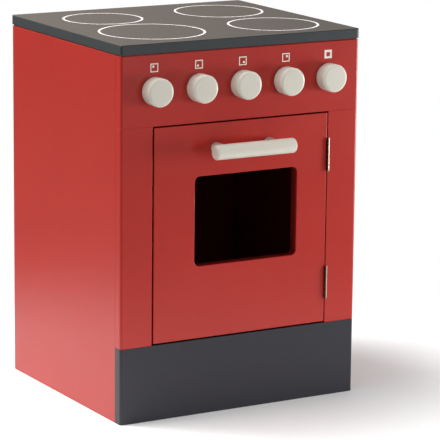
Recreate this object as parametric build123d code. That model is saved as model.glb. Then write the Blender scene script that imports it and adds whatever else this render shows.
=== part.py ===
from build123d import *

import os
from collections import namedtuple
from itertools import product

# Toy oven: a child's play cooker built of lacquered boards. A worktop with a printed hob lies on a
# cabinet with a control panel, two stiles and a kickboard in front. An inset door with a window
# swings on two brass hinges and is held shut by a magnet, and five knobs turn on wooden spindles.
# Millimetres. +Z is up, the front faces -Y and +X is to the right of someone facing the front.
# The origin is the middle of the overall box, handle included, on the floor.

# Overall sizes
WORKTOP_WIDTH = 359.0
WORKTOP_DEPTH = 319.0
OVERALL_HEIGHT = 500.0
OVERHANG = 0.5  # the worktop past the body, on all four sides

# Boards
WORKTOP_THICK = 13.0
SIDE_THICK = 15.0
FRONT_THICK = 15.0  # control panel, stiles, kickboard and door
SHELF_THICK = 15.0
BACK_THICK = 6.0
BACK_INSET = 12.0  # from the sides' rear edges to the back panel's outer face
GROOVE_DEPTH = 6.0
GROOVE_PLAY = 0.15  # beside each face of the back panel
KICKBOARD_HEIGHT = 102.0
CONTROL_PANEL_HEIGHT = 95.0
STILE_WIDTH = 46.0
EDGE_ROUND = 3.0  # upright corners that a child can bump into
ARRIS = 0.6  # small bevel along every other edge

# Door, inset between the stiles
DOOR_GAP_TOP = 2.0
DOOR_GAP_BOTTOM = 2.0
DOOR_GAP_FREE = 2.4
WINDOW_MARGIN_HINGE = 46.0
WINDOW_MARGIN_FREE = 60.7
WINDOW_MARGIN_TOP = 69.0
WINDOW_MARGIN_BOTTOM = 97.0
WINDOW_CORNER = 7.0

# Brass hinges, cut from strip: six knuckles on a steel pin
LEAF_THICK = 0.6
LEAF_CLEARANCE = 0.2  # between the closed leaves
LEAF_REAR_MARGIN = 1.5  # from the leaf's rear edge to the door's back
KNUCKLES = 6
KNUCKLE_LENGTH = 7.2
KNUCKLE_GAP = 0.3
BARREL_RADIUS = 2.0
BARREL_STANDOFF = 0.2  # in front of the boards' face
BARREL_CLEARANCE = 0.35  # round the other leaf's knuckles
PIN_RADIUS = 1.0
RUNNING_CLEARANCE = 0.05
HINGE_INSET_TOP = 34.0
HINGE_INSET_BOTTOM = 32.5
LEAF_SCREW_PITCH = 30.0
LEAF_SCREWS = 2

# Handle
HANDLE_LENGTH = 120.0
HANDLE_RADIUS = 10.0
HANDLE_END_ROUND = 3.0
HANDLE_AXIS_REACH = 32.5  # from the door's face to the bar's axis
HANDLE_DROP = 32.5  # from the door's top edge to the bar's axis
POST_RADIUS = 7.0
POST_SPACING = 80.0
POST_SEAT = 6.0  # how deep a post sits in the bar
GLUE_CLEARANCE = 0.05

# Knobs
KNOB_COUNT = 5
KNOB_RADIUS = 18.5
KNOB_LENGTH = 19.6
KNOB_FRONT_ROUND = 3.0
KNOB_BACK_CHAMFER = 1.2
KNOB_END_INSET = 48.0  # from the control panel's end to the outer knob's axis
KNOB_DROP = 48.5  # from the control panel's top edge to the knobs' axes
KNOB_STANDOFF = 0.4
SPINDLE_RADIUS = 4.0
SPINDLE_SEAT = 14.0
SPINDLE_CLEARANCE = 0.08
WASHER_RADIUS = 9.0
WASHER_THICK = 1.5
WASHER_GAP = 0.3

# Magnetic catch behind the left stile
CATCH_HEIGHT = 16.0
CATCH_SIDE_GAP = 6.0  # from the side panel's inner face to the flange
CATCH_PAST_STILE = 20.0
CATCH_FLANGE = 5.0
CATCH_DEPTH = 14.0
CATCH_BEVEL = 1.0
CATCH_GAP = 0.3
CATCH_SCREW_INSET = 5.0  # from each end of the flange
MAGNET_WIDTH = 10.0
MAGNET_HEIGHT = 10.0
MAGNET_DEPTH = 8.0
POLE_THICK = 1.2
POCKET_CLEARANCE = 0.1
STRIKE_SIZE = 14.0
STRIKE_THICK = 1.0
STRIKE_CORNER = 2.0

# Screws
Screw = namedtuple("Screw", "shank_radius length head_radius head_height")
HINGE_SCREW = Screw(1.2, 10.0, 2.2, 1.0)
HANDLE_SCREW = Screw(2.0, 32.0, 4.0, 2.0)
STRIKE_SCREW = Screw(1.4, 9.0, 2.6, 1.2)
CATCH_SCREW = Screw(1.5, 14.0, 3.0, 1.8)
BACK_SCREW = Screw(1.5, 16.0, 3.2, 1.9)
KNOB_SCREW = Screw(1.75, 16.0, 4.0, 2.4)
SCREW_CLEARANCE = 0.05
PAN_HEAD_BEVEL = 0.6  # share of a pan head's height that is bevelled

# Dowels, glued across the seams between the boards
DOWEL_RADIUS = 4.0
DOWEL_GRIP = 9.0  # in the board at the seam
DOWEL_TAIL = 20.0  # in the board behind the seam
HOLE_SPARE = 0.5  # air past the end of a dowel or screw
DOWEL_FRONT_INSET = 80.0
DOWEL_REAR_INSET = 70.0
SHELF_DOWEL_X = 80.0
BACK_SCREW_COUNT = 3
BACK_SCREW_PITCH = 120.0

# Planes and edges that several boards share
HANDLE_REACH = HANDLE_AXIS_REACH + HANDLE_RADIUS
FRONT = (HANDLE_REACH + OVERHANG - WORKTOP_DEPTH) / 2
FRAME_BACK = FRONT + FRONT_THICK
REAR = FRONT + WORKTOP_DEPTH - 2 * OVERHANG
BODY_HALF = WORKTOP_WIDTH / 2 - OVERHANG
FRONT_CORNERS = [(-BODY_HALF, FRONT), (BODY_HALF, FRONT)]
SIDE_INNER = BODY_HALF - SIDE_THICK
SIDE_MIDDLE = BODY_HALF - SIDE_THICK / 2
OPENING_HALF = BODY_HALF - STILE_WIDTH
WORKTOP_UNDERSIDE = OVERALL_HEIGHT - WORKTOP_THICK
CONTROL_BOTTOM = WORKTOP_UNDERSIDE - CONTROL_PANEL_HEIGHT
BACK_OUTER = REAR - BACK_INSET
BACK_INNER = BACK_OUTER - BACK_THICK
SHELF_TOP = KICKBOARD_HEIGHT
SHELF_MIDDLE = SHELF_TOP - SHELF_THICK / 2
BACK_SCREW_POINTS = [
    ((number - (BACK_SCREW_COUNT - 1) / 2) * BACK_SCREW_PITCH, BACK_OUTER, SHELF_MIDDLE)
    for number in range(BACK_SCREW_COUNT)
]

HINGE_GAP = 2 * LEAF_THICK + LEAF_CLEARANCE
HINGE_LENGTH = KNUCKLES * (KNUCKLE_LENGTH + KNUCKLE_GAP) - KNUCKLE_GAP
HINGE_X = OPENING_HALF - HINGE_GAP / 2
HINGE_Y = FRONT - BARREL_RADIUS - BARREL_STANDOFF

DOOR_LEFT = -OPENING_HALF + DOOR_GAP_FREE
DOOR_RIGHT = OPENING_HALF - HINGE_GAP
DOOR_MIDDLE = (DOOR_LEFT + DOOR_RIGHT) / 2
DOOR_BOTTOM = KICKBOARD_HEIGHT + DOOR_GAP_BOTTOM
DOOR_TOP = CONTROL_BOTTOM - DOOR_GAP_TOP
HANDLE_Y = FRONT - HANDLE_AXIS_REACH
HANDLE_Z = DOOR_TOP - HANDLE_DROP
POST_XS = (DOOR_MIDDLE - POST_SPACING / 2, DOOR_MIDDLE + POST_SPACING / 2)
POST_TIP = HANDLE_Y + HANDLE_RADIUS - POST_SEAT

KNOB_Z = WORKTOP_UNDERSIDE - KNOB_DROP
KNOB_PITCH = 2 * (BODY_HALF - KNOB_END_INSET) / (KNOB_COUNT - 1)
KNOB_XS = [(number - (KNOB_COUNT - 1) / 2) * KNOB_PITCH for number in range(KNOB_COUNT)]
KNOB_BACK = FRONT - KNOB_STANDOFF
WASHER_FRONT = FRAME_BACK + WASHER_GAP

CATCH_Z = (DOOR_BOTTOM + DOOR_TOP) / 2
CATCH_FACE = FRAME_BACK + STRIKE_THICK + CATCH_GAP
CATCH_OUTER = -SIDE_INNER + CATCH_SIDE_GAP
CATCH_SCREW_POINTS = [
    (x, FRAME_BACK + CATCH_FLANGE, CATCH_Z)
    for x in (CATCH_OUTER + CATCH_SCREW_INSET, -OPENING_HALF - CATCH_SCREW_INSET)
]
STRIKE_X = -OPENING_HALF + (DOOR_GAP_FREE + CATCH_PAST_STILE) / 2
STRIKE_POINT = (STRIKE_X, FRAME_BACK + STRIKE_THICK, CATCH_Z)

RIGHT, REARWARD, FORWARD, UP, DOWN = (1, 0, 0), (0, 1, 0), (0, -1, 0), (0, 0, 1), (0, 0, -1)


def rod(start, direction, radius, length):
    """A cylinder that starts at a point and runs along a direction."""
    ends = (Align.CENTER, Align.CENTER, Align.MIN)
    return Plane(origin=start, z_dir=direction) * Cylinder(radius, length, align=ends)


def backward(direction):
    """The opposite direction."""
    return tuple(-step for step in direction)


def move(point, direction, distance):
    """The point that lies a distance away along an axis direction."""
    return tuple(value + step * distance for value, step in zip(point, direction))


def block(x_span, y_span, z_span):
    """A plain box between two planes on each axis."""
    spans = (x_span, y_span, z_span)
    centre = [(low + high) / 2 for low, high in spans]
    return Pos(*centre) * Box(*[high - low for low, high in spans])


def board(x_span, y_span, z_span, outer=()):
    """A board with bevelled edges; its upright edges at the outer (x, y) corners are rounded."""
    centre = (sum(x_span) / 2, sum(y_span) / 2)
    profile = Pos(*centre, z_span[0]) * Rectangle(x_span[1] - x_span[0], y_span[1] - y_span[0])
    for corner in product(x_span, y_span):
        vertex = profile.vertices().sort_by_distance((*corner, z_span[0]))[0]
        profile = fillet(vertex, EDGE_ROUND) if corner in outer else chamfer(vertex, ARRIS)
    levels = extrude(profile, z_span[1] - z_span[0]).edges().group_by(Axis.Z)
    return chamfer(levels[0] + levels[-1], ARRIS)


def countersunk_screw(face_point, direction, screw, clearance=0.0):
    """A flat-head wood screw, flush with the face; with a clearance it is the hole for one."""
    cone = Plane(origin=face_point, z_dir=direction) * Cone(
        screw.head_radius + clearance,
        screw.shank_radius + clearance,
        screw.head_height,
        align=(Align.CENTER, Align.CENTER, Align.MIN),
    )
    return cone + rod(face_point, direction, screw.shank_radius + clearance, screw.length + clearance)


def pan_screw(face_point, direction, screw):
    """A pan-head screw whose bevelled head stands on the face."""
    away = backward(direction)
    head = rod(face_point, away, screw.head_radius, screw.head_height)
    rim = head.edges().sort_by_distance(move(face_point, away, 2 * screw.head_height))[0]
    head = chamfer(rim, screw.head_height * PAN_HEAD_BEVEL)
    return head + rod(face_point, direction, screw.shank_radius, screw.length)


def pan_screw_hole(face_point, direction, screw):
    """The hole for a pan-head screw's shank."""
    return rod(face_point, direction, screw.shank_radius + SCREW_CLEARANCE, screw.length + HOLE_SPARE)


# Dowels: a point on the seam between two boards and the direction into the one behind it
Dowel = namedtuple("Dowel", "seam into")


def dowel_joints():
    """Every dowel: two to four along each seam of the cabinet."""
    depths = (FRONT + DOWEL_FRONT_INSET, REAR - DOWEL_REAR_INSET)
    levels = (
        KICKBOARD_HEIGHT / 2,
        (KICKBOARD_HEIGHT + CONTROL_BOTTOM) / 2,
        CONTROL_BOTTOM + CONTROL_PANEL_HEIGHT / 2,
    )
    joints = []
    for side in (-1, 1):
        inward = (-side, 0, 0)
        joints += [Dowel((side * SIDE_MIDDLE, FRAME_BACK, z), REARWARD) for z in levels]
        joints += [Dowel((side * SIDE_MIDDLE, y, WORKTOP_UNDERSIDE), DOWN) for y in depths]
        joints += [Dowel((side * SIDE_INNER, y, SHELF_MIDDLE), inward) for y in depths]
        joints += [Dowel((side * SHELF_DOWEL_X, FRAME_BACK, SHELF_MIDDLE), REARWARD)]
    return joints


def dowel_pin(dowel):
    """A beech dowel."""
    start = move(dowel.seam, dowel.into, -DOWEL_GRIP)
    return rod(start, dowel.into, DOWEL_RADIUS, DOWEL_GRIP + DOWEL_TAIL)


def dowel_hole(dowel):
    """The hole for a dowel, in both boards."""
    start = move(dowel.seam, dowel.into, -DOWEL_GRIP - HOLE_SPARE)
    length = DOWEL_GRIP + DOWEL_TAIL + 2 * HOLE_SPARE
    return rod(start, dowel.into, DOWEL_RADIUS + GLUE_CLEARANCE, length)


DOWELS = dowel_joints()
DOWEL_HOLES = [dowel_hole(dowel) for dowel in DOWELS]


# Hinges, from the lower end of each barrel

HINGE_BOTTOMS = {
    "upper": DOOR_TOP - HINGE_INSET_TOP - HINGE_LENGTH,
    "lower": DOOR_BOTTOM + HINGE_INSET_BOTTOM,
}
LEAF_REAR = FRAME_BACK - LEAF_REAR_MARGIN
LEAF_SCREW_Y = (FRONT + LEAF_REAR) / 2


def leaf_screw_points(bottom, side):
    """Where the screws' heads lie on a leaf: side is +1 on the stile's leaf and -1 on the door's."""
    x = HINGE_X + side * LEAF_CLEARANCE / 2
    middle = bottom + HINGE_LENGTH / 2
    offsets = [(number - (LEAF_SCREWS - 1) / 2) * LEAF_SCREW_PITCH for number in range(LEAF_SCREWS)]
    return [(x, LEAF_SCREW_Y, middle + offset) for offset in offsets]


def hinge_leaf(bottom, side):
    """A leaf: a plate in the gap, every second knuckle of the barrel and countersunk screw holes."""
    near = HINGE_X + side * LEAF_CLEARANCE / 2
    far = near + side * LEAF_THICK
    leaf = block(sorted((near, far)), (HINGE_Y, LEAF_REAR), (bottom, bottom + HINGE_LENGTH))
    own_first = 0 if side > 0 else 1
    others = []
    for number in range(KNUCKLES):
        start = (HINGE_X, HINGE_Y, bottom + number * (KNUCKLE_LENGTH + KNUCKLE_GAP))
        if number % 2 == own_first:
            leaf += rod(start, UP, BARREL_RADIUS, KNUCKLE_LENGTH)
        else:
            length = KNUCKLE_LENGTH + 2 * KNUCKLE_GAP
            radius = BARREL_RADIUS + BARREL_CLEARANCE
            others += [rod(move(start, DOWN, KNUCKLE_GAP), UP, radius, length)]
    bore = rod((HINGE_X, HINGE_Y, bottom), UP, PIN_RADIUS + RUNNING_CLEARANCE, HINGE_LENGTH)
    leaf -= [bore, *others]
    return leaf - leaf_screw_holes(bottom, side)


def leaf_screws(bottom, side):
    """The screws of one leaf."""
    points = leaf_screw_points(bottom, side)
    return [countersunk_screw(point, (side, 0, 0), HINGE_SCREW) for point in points]


def leaf_screw_holes(bottom, side):
    """The holes for the screws of one leaf, through the plate and into the board behind it."""
    points = leaf_screw_points(bottom, side)
    return [countersunk_screw(point, (side, 0, 0), HINGE_SCREW, SCREW_CLEARANCE) for point in points]


def all_leaf_screw_holes(side):
    """The holes that both hinges need in the door or the stile."""
    return [hole for bottom in HINGE_BOTTOMS.values() for hole in leaf_screw_holes(bottom, side)]


def all_leaf_screws(side):
    """The screws of both hinges on one side of the gap, as one group."""
    return Compound([screw for bottom in HINGE_BOTTOMS.values() for screw in leaf_screws(bottom, side)])


# Cabinet


def worktop():
    """The worktop, with rounded corners."""
    x_span = (-WORKTOP_WIDTH / 2, WORKTOP_WIDTH / 2)
    y_span = (FRONT - OVERHANG, REAR + OVERHANG)
    corners = list(product(x_span, y_span))
    return board(x_span, y_span, (WORKTOP_UNDERSIDE, OVERALL_HEIGHT), corners) - DOWEL_HOLES


def side_panel(side):
    """A side: side is -1 on the left and +1 on the right. A groove holds the back panel's edge."""
    outer_x, inner_x = side * BODY_HALF, side * SIDE_INNER
    panel = board(
        sorted((outer_x, inner_x)), (FRAME_BACK, REAR), (0, WORKTOP_UNDERSIDE), [(outer_x, REAR)]
    )
    groove = block(
        sorted((inner_x - side, inner_x + side * GROOVE_DEPTH)),
        (BACK_INNER - GROOVE_PLAY, BACK_OUTER + GROOVE_PLAY),
        (0, WORKTOP_UNDERSIDE),
    )
    return panel - groove - DOWEL_HOLES


def back_panel():
    """The thin back, slid down the sides' grooves and screwed to the shelf's rear edge."""
    half_width = SIDE_INNER + GROOVE_DEPTH - GROOVE_PLAY
    panel = block((-half_width, half_width), (BACK_INNER, BACK_OUTER), (0, WORKTOP_UNDERSIDE))
    return panel - [pan_screw_hole(point, FORWARD, BACK_SCREW) for point in BACK_SCREW_POINTS]


def oven_shelf():
    """The oven's floor, level with the kickboard's top edge."""
    shelf = board(
        (-SIDE_INNER, SIDE_INNER), (FRAME_BACK, BACK_INNER), (SHELF_TOP - SHELF_THICK, SHELF_TOP)
    )
    holes = [pan_screw_hole(point, FORWARD, BACK_SCREW) for point in BACK_SCREW_POINTS]
    return shelf - DOWEL_HOLES - holes


def front_board(x_span, z_span, outer):
    """One of the boards of the front frame, rounded at the outer corners of the cabinet."""
    return board(x_span, (FRONT, FRAME_BACK), z_span, outer) - DOWEL_HOLES


def control_panel():
    """The control panel, with a running hole for each knob's spindle."""
    panel = front_board(
        (-BODY_HALF, BODY_HALF), (CONTROL_BOTTOM, WORKTOP_UNDERSIDE), FRONT_CORNERS
    )
    radius = SPINDLE_RADIUS + SPINDLE_CLEARANCE
    return panel - [rod((x, FRONT, KNOB_Z), REARWARD, radius, FRONT_THICK) for x in KNOB_XS]


def stile(side):
    """An upright beside the door: the right one takes the hinges' screws, the left one the catch's."""
    x_span = sorted((side * OPENING_HALF, side * BODY_HALF))
    upright = front_board(x_span, (KICKBOARD_HEIGHT, CONTROL_BOTTOM), FRONT_CORNERS)
    if side > 0:
        return upright - all_leaf_screw_holes(side)
    return upright - [pan_screw_hole(point, FORWARD, CATCH_SCREW) for point in CATCH_SCREW_POINTS]


# Magnetic catch


def catch_pieces():
    """The catch's housing, its magnet between two steel poles, and its two screws."""
    z_span = (CATCH_Z - CATCH_HEIGHT / 2, CATCH_Z + CATCH_HEIGHT / 2)
    inner = -OPENING_HALF + CATCH_PAST_STILE
    flange = block((CATCH_OUTER, -OPENING_HALF), (FRAME_BACK, FRAME_BACK + CATCH_FLANGE), z_span)
    head = block((-OPENING_HALF, inner), (CATCH_FACE, FRAME_BACK + CATCH_DEPTH), z_span)
    housing = chamfer((flange + head).edges().filter_by(Axis.Y), CATCH_BEVEL)
    width = MAGNET_WIDTH + 2 * POLE_THICK
    face = (CATCH_FACE, CATCH_FACE + MAGNET_DEPTH)
    pocket = block(
        (STRIKE_X - width / 2 - POCKET_CLEARANCE, STRIKE_X + width / 2 + POCKET_CLEARANCE),
        (face[0], face[1] + POCKET_CLEARANCE),
        (CATCH_Z - MAGNET_HEIGHT / 2 - POCKET_CLEARANCE, CATCH_Z + MAGNET_HEIGHT / 2 + POCKET_CLEARANCE),
    )
    housing -= [pocket, *[pan_screw_hole(point, FORWARD, CATCH_SCREW) for point in CATCH_SCREW_POINTS]]
    tall = (CATCH_Z - MAGNET_HEIGHT / 2, CATCH_Z + MAGNET_HEIGHT / 2)
    edges = (-width / 2, -MAGNET_WIDTH / 2, MAGNET_WIDTH / 2, width / 2)
    magnet = [block((STRIKE_X + low, STRIKE_X + high), face, tall) for low, high in zip(edges, edges[1:])]
    screws = [pan_screw(point, FORWARD, CATCH_SCREW) for point in CATCH_SCREW_POINTS]
    return housing, Compound(magnet), Compound(screws)


# Door


def door_panel():
    """The door: a board with a rounded window, drilled for the handle, the hinges and the strike."""
    panel = board((DOOR_LEFT, DOOR_RIGHT), (FRONT, FRAME_BACK), (DOOR_BOTTOM, DOOR_TOP))
    x_span = (DOOR_LEFT + WINDOW_MARGIN_FREE, DOOR_RIGHT - WINDOW_MARGIN_HINGE)
    z_span = (DOOR_BOTTOM + WINDOW_MARGIN_BOTTOM, DOOR_TOP - WINDOW_MARGIN_TOP)
    outline = RectangleRounded(x_span[1] - x_span[0], z_span[1] - z_span[0], WINDOW_CORNER)
    place = Plane(origin=(sum(x_span) / 2, FRONT, sum(z_span) / 2), x_dir=RIGHT, z_dir=FORWARD)
    panel -= extrude(place * outline, -FRONT_THICK)
    window = [
        edge
        for face in (panel.faces().sort_by(Axis.Y)[0], panel.faces().sort_by(Axis.Y)[-1])
        for edge in face.inner_wires()[0].edges()
    ]
    panel = chamfer(window, ARRIS)
    panel -= all_leaf_screw_holes(-1)
    panel -= [handle_screw_hole(x) for x in POST_XS]
    return panel - countersunk_screw(STRIKE_POINT, FORWARD, STRIKE_SCREW, SCREW_CLEARANCE)


def handle_screw_hole(x):
    """The hole for a handle screw, from the door's back into the post."""
    return countersunk_screw((x, FRAME_BACK, HANDLE_Z), FORWARD, HANDLE_SCREW, SCREW_CLEARANCE)


def handle_bar():
    """The turned bar, with rounded ends and a flat-bottomed seat for each post."""
    start = (DOOR_MIDDLE - HANDLE_LENGTH / 2, HANDLE_Y, HANDLE_Z)
    bar = rod(start, RIGHT, HANDLE_RADIUS, HANDLE_LENGTH)
    bar = fillet(bar.edges().filter_by(GeomType.CIRCLE), HANDLE_END_ROUND)
    radius = POST_RADIUS + GLUE_CLEARANCE
    return bar - [rod((x, POST_TIP, HANDLE_Z), REARWARD, radius, 2 * HANDLE_RADIUS) for x in POST_XS]


def handle_post(x):
    """A round post from the door's face into the bar, drilled for its screw."""
    post = rod((x, FRONT, HANDLE_Z), FORWARD, POST_RADIUS, FRONT - POST_TIP)
    return post - handle_screw_hole(x)


def strike_plate():
    """The steel plate that the magnet holds, with a countersunk screw hole."""
    outline = RectangleRounded(STRIKE_SIZE, STRIKE_SIZE, STRIKE_CORNER)
    place = Plane(origin=(STRIKE_X, FRAME_BACK, CATCH_Z), x_dir=RIGHT, z_dir=FORWARD)
    plate = extrude(place * outline, -STRIKE_THICK)
    return plate - countersunk_screw(STRIKE_POINT, FORWARD, STRIKE_SCREW, SCREW_CLEARANCE)


# Knobs


def knob(x):
    """A turned knob, rounded in front and bevelled behind, with a blind bore for its spindle."""
    body = rod((x, KNOB_BACK, KNOB_Z), FORWARD, KNOB_RADIUS, KNOB_LENGTH)
    body = fillet(body.edges().filter_by(GeomType.CIRCLE).sort_by(Axis.Y)[0], KNOB_FRONT_ROUND)
    body = chamfer(body.edges().filter_by(GeomType.CIRCLE).sort_by(Axis.Y)[-1], KNOB_BACK_CHAMFER)
    return body - rod((x, KNOB_BACK, KNOB_Z), FORWARD, SPINDLE_RADIUS + GLUE_CLEARANCE, SPINDLE_SEAT)


def knob_spindle(x):
    """A dowel glued in the knob, which turns in the control panel and ends at the washer."""
    tip = KNOB_BACK - SPINDLE_SEAT
    spindle = rod((x, tip, KNOB_Z), REARWARD, SPINDLE_RADIUS, WASHER_FRONT - tip)
    bore = KNOB_SCREW._replace(length=KNOB_SCREW.length - WASHER_THICK)
    return spindle - pan_screw_hole((x, WASHER_FRONT, KNOB_Z), FORWARD, bore)


def knob_washer(x):
    """The steel washer that keeps the spindle in the panel."""
    washer = rod((x, WASHER_FRONT, KNOB_Z), REARWARD, WASHER_RADIUS, WASHER_THICK)
    return washer - pan_screw_hole((x, WASHER_FRONT + WASHER_THICK, KNOB_Z), FORWARD, KNOB_SCREW)


def knob_screw(x):
    """The screw through the washer into the spindle's end."""
    return pan_screw((x, WASHER_FRONT + WASHER_THICK, KNOB_Z), FORWARD, KNOB_SCREW)


def build():
    """Every node of the toy oven by name."""
    housing, magnet, catch_screws = catch_pieces()
    nodes = {
        "worktop": worktop(),
        "side_panel_left": side_panel(-1),
        "side_panel_right": side_panel(1),
        "back_panel": back_panel(),
        "oven_shelf": oven_shelf(),
        "control_panel": control_panel(),
        "stile_left": stile(-1),
        "stile_right": stile(1),
        "kickboard": front_board((-BODY_HALF, BODY_HALF), (0, KICKBOARD_HEIGHT), FRONT_CORNERS),
        "dowels": Compound([dowel_pin(dowel) for dowel in DOWELS]),
        "back_screws": Compound([pan_screw(point, FORWARD, BACK_SCREW) for point in BACK_SCREW_POINTS]),
        "hinge_frame_screws": all_leaf_screws(1),
        "catch_housing": housing,
        "catch_magnet": magnet,
        "catch_screws": catch_screws,
        "door_panel": door_panel(),
        "handle_bar": handle_bar(),
        "handle_screws": Compound(
            [countersunk_screw((x, FRAME_BACK, HANDLE_Z), FORWARD, HANDLE_SCREW) for x in POST_XS]
        ),
        "hinge_door_screws": all_leaf_screws(-1),
        "strike_plate": strike_plate(),
        "strike_screw": countersunk_screw(STRIKE_POINT, FORWARD, STRIKE_SCREW),
    }
    for side, x in zip(("left", "right"), POST_XS):
        nodes[f"handle_post_{side}"] = handle_post(x)
    for place, bottom in HINGE_BOTTOMS.items():
        nodes[f"{place}_hinge_frame_leaf"] = hinge_leaf(bottom, 1)
        nodes[f"{place}_hinge_door_leaf"] = hinge_leaf(bottom, -1)
        nodes[f"{place}_hinge_pin"] = rod((HINGE_X, HINGE_Y, bottom), UP, PIN_RADIUS, HINGE_LENGTH)
    for number, x in enumerate(KNOB_XS, start=1):
        nodes[f"knob_{number}"] = knob(x)
        nodes[f"knob_spindle_{number}"] = knob_spindle(x)
        nodes[f"knob_washer_{number}"] = knob_washer(x)
        nodes[f"knob_screw_{number}"] = knob_screw(x)
    return nodes


os.makedirs("parts", exist_ok=True)
for name, shape in build().items():
    export_step(shape, f"parts/{name}.step")
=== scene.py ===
import math

import bpy
import numpy as np
from mathutils import Matrix, Vector


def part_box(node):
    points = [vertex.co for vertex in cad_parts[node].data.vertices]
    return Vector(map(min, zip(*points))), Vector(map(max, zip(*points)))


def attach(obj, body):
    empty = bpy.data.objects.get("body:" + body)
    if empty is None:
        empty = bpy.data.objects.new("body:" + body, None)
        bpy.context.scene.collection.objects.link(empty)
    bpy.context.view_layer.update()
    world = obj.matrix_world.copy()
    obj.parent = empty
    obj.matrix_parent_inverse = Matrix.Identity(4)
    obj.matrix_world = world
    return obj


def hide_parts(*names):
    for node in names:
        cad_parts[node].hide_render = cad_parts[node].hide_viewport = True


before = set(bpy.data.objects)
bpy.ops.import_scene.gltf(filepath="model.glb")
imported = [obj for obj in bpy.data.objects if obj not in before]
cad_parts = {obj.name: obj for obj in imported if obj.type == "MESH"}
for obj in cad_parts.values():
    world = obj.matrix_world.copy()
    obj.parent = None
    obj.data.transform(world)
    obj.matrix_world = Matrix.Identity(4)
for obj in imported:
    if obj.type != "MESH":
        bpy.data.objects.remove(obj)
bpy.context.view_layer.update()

# Camera
# It stands 3.5 m away, to the left of the front and half a metre above the worktop, and looks down
# along a long lens, so that the oven's sides hardly draw together.
scene = bpy.context.scene
scene.view_settings.view_transform = "Standard"
YAW, PITCH, ROLL = (math.radians(angle) for angle in (30.114, 12.247, 0.608))
STANDPOINT = Vector((-1.7362, -3.0765, 0.9974))
SENSOR_WIDTH, FOCAL_LENGTH = 36.0, 217.09  # millimetres
camera = bpy.data.objects.new("camera", bpy.data.cameras.new("camera"))
camera.data.sensor_width = SENSOR_WIDTH
camera.data.lens = FOCAL_LENGTH
camera.matrix_world = (
    Matrix.Translation(STANDPOINT)
    @ Matrix.Rotation(-YAW, 4, "Z")
    @ Matrix.Rotation(math.pi / 2 - PITCH, 4, "X")
    @ Matrix.Rotation(ROLL, 4, "Z")
)
scene.collection.objects.link(camera)
scene.camera = camera


# Side panels
# Two boards of 15 mm fibreboard, lacquered red. The outer rear edge is rounded for small hands, a
# groove near the back takes the edge of the thin back panel, and the top end has a low rebate all
# round, glued under the worktop.
MM = 0.001
X_AXIS, Y_AXIS, Z_AXIS = range(3)
EDGE_ROUND = 3.0 * MM  # upright corners on the outside
SEAM_EDGE = 0.4 * MM  # edges that are glued to a neighbour
FOOT_ARRIS = 0.4 * MM
REBATE_HIGH = 1.6 * MM  # under the worktop, where the step's shade and painted shade leave a dark line
REBATE_DEEP = 1.5 * MM
GROOVE_DEPTH = 6.0 * MM
GROOVE_PLAY = 0.15 * MM
PAST_ROUND = 1.3  # where the straight begins, in radii from the corner
LEAST = 0.01 * MM  # what is shorter than this counts as nothing
CREASE = 40.0  # degrees, past which an edge is drawn sharp
RED = (0.415, 0.0160, 0.0085)
RED_GLOSS = 0.30
# Painted shade: a darker red that stands in for the shade inside the oven and in the joints.
PAINTED_SHADE_RED = (0.16, 0.007, 0.007)
INSIDE_GLOSS = 0.42
FILM_IOR = 1.5
FILM_SHINE = 0.5  # specular level
COAT_DARKEST, COAT_LIGHTEST = 0.93, 1.07  # the lacquer's tone, times its colour
TONE_DRIFT, TONE_SPECKS = 9.0, 420.0  # patches per metre
DRIFT_SHARE = 0.8  # of the change in tone, and the specks have the rest
RUBBED_PATCHES = 26.0  # per metre
RUBBED_SWING = 0.04  # in roughness, either way
FILM_WAVES, WAVE_HEIGHT = 38.0, 2.0
ORANGE_PEEL, PEEL_HEIGHT = 760.0, 0.35
FILM_RELIEF, FILM_RIPPLE = 0.25 * MM, 0.12


def outline(corners, radii, insets, steps=6):
    """Right-angled outlines with round corners, one for each inset, as an array (inset, point, 2).

    With p and n the unit vectors from a corner to the one before and the one after, drawing the
    outline in by d moves the corner by d (p + n) inwards and takes d off its radius r. The arc is
    then corner + r (p (1 - sin t) + n (1 - cos t)), with t from 0 to a right angle. One more point
    on the straight, past each end of the arc, keeps the flat side flat."""
    corners = np.asarray(corners, float)
    following = np.roll(corners, -1, axis=0)
    before = np.roll(corners, 1, axis=0) - corners
    after = following - corners
    before /= np.linalg.norm(before, axis=1, keepdims=True)
    after /= np.linalg.norm(after, axis=1, keepdims=True)
    area = np.sum(corners[:, 0] * following[:, 1] - corners[:, 1] * following[:, 0])
    turn_way = np.sign((after[:, 0] * before[:, 1] - after[:, 1] * before[:, 0]) * area)
    insets = np.asarray(insets, float)[:, None]
    moved = corners + (insets * turn_way)[..., None] * (before + after)
    rounds = np.maximum(np.broadcast_to(radii, len(corners)) - insets * turn_way, LEAST)
    turn = np.linspace(0, np.pi / 2, steps)
    to_before = np.concatenate([[PAST_ROUND], 1 - np.sin(turn), [0.0]])[:, None]
    to_after = np.concatenate([[0.0], 1 - np.cos(turn), [PAST_ROUND]])[:, None]
    arcs = before[:, None] * to_before + after[:, None] * to_after
    points = moved[:, :, None] + rounds[:, :, None, None] * arcs
    return points.reshape(len(insets), -1, 2)


def edge_rows(low, high, low_arris, high_arris, steps=5):
    """Insets and heights that carry an outline from one face of a board to the other.

    Near a face the inset is arris (1 - sin t) at the height arris (1 - cos t), a quarter circle.
    One more row on either side of it keeps the flat faces flat."""
    turn = np.linspace(0, np.pi / 2, steps)
    inset = np.concatenate([[PAST_ROUND], 1 - np.sin(turn), [0.0]])
    height = np.concatenate([[0.0], 1 - np.cos(turn), [PAST_ROUND]])
    insets = np.concatenate([inset * low_arris, inset[::-1] * high_arris])
    return insets, np.concatenate([low + height * low_arris, high - height[::-1] * high_arris])


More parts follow.
